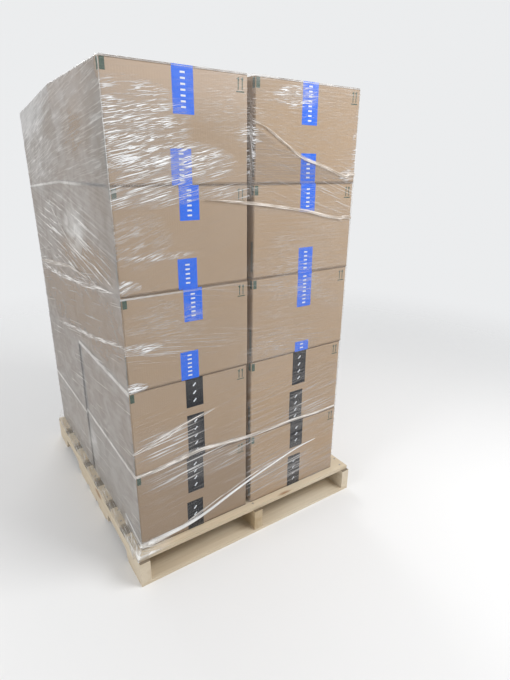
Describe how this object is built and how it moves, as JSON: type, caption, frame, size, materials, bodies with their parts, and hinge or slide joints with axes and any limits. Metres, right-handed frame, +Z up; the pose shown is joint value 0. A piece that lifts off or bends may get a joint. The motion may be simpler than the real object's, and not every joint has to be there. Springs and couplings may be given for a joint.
{
  "type": "wrapped pallet load of cartons",
  "caption": "Taped corrugated cartons stacked in tiers on a notched wooden pallet and held together by clear stretch film, with fork entry from all four sides.",
  "frame": {"origin": "on the floor under the centre of the load's bounding box, which is the pallet's", "axes": "+Z up, +X to the right along the front of the load, +Y to its back"},
  "size_m": [1.0166, 1.219, 1.6853],
  "materials": {
    "pine": "sawn, unfinished",
    "kraft_carton": "matt kraft liner",
    "blue_tape": "satin printed film",
    "black_tape": "satin printed film",
    "stretch_film": "clear, glossy, pleated"
  },
  "bodies": {
    "root": {"bottom_board_1": "pine", "bottom_board_2": "pine", "bottom_board_3": "pine", "bottom_lead_board_front": "pine", "bottom_lead_board_rear": "pine", "carton_1_left_front": "kraft_carton", "carton_1_left_rear": "kraft_carton", "carton_1_right_front": "kraft_carton", "carton_1_right_rear": "kraft_carton", "carton_2_left_front": "kraft_carton", "carton_2_left_rear": "kraft_carton", "carton_2_right_front": "kraft_carton", "carton_2_right_rear": "kraft_carton", "carton_3_left_front": "kraft_carton", "carton_3_left_rear": "kraft_carton", "carton_3_right_front": "kraft_carton", "carton_3_right_rear": "kraft_carton", "carton_4_left_front": "kraft_carton", "carton_4_left_rear": "kraft_carton", "carton_4_right_front": "kraft_carton", "carton_4_right_rear": "kraft_carton", "carton_5_left_front": "kraft_carton", "carton_5_left_rear": "kraft_carton", "carton_5_right_front": "kraft_carton", "carton_5_right_rear": "kraft_carton", "film_skirt": "stretch_film", "stretch_film": "stretch_film", "stringer_left": "pine", "stringer_middle": "pine", "stringer_right": "pine", "tape_1_left_front": "black_tape", "tape_1_left_rear": "black_tape", "tape_1_right_front": "black_tape", "tape_1_right_rear": "black_tape", "tape_2_left_front": "black_tape", "tape_2_left_rear": "black_tape", "tape_2_right_front": "black_tape", "tape_2_right_rear": "black_tape", "tape_3_left_front": "blue_tape", "tape_3_left_rear": "blue_tape", "tape_3_right_front": "blue_tape", "tape_3_right_rear": "blue_tape", "tape_4_left_front": "blue_tape", "tape_4_left_rear": "blue_tape", "tape_4_right_front": "blue_tape", "tape_4_right_rear": "blue_tape", "tape_5_left_front": "blue_tape", "tape_5_left_rear": "blue_tape", "tape_5_right_front": "blue_tape", "tape_5_right_rear": "blue_tape", "top_board_1": "pine", "top_board_2": "pine", "top_board_3": "pine", "top_board_4": "pine", "top_board_5": "pine", "top_lead_board_front": "pine", "top_lead_board_rear": "pine"}
  },
  "joints": []
}
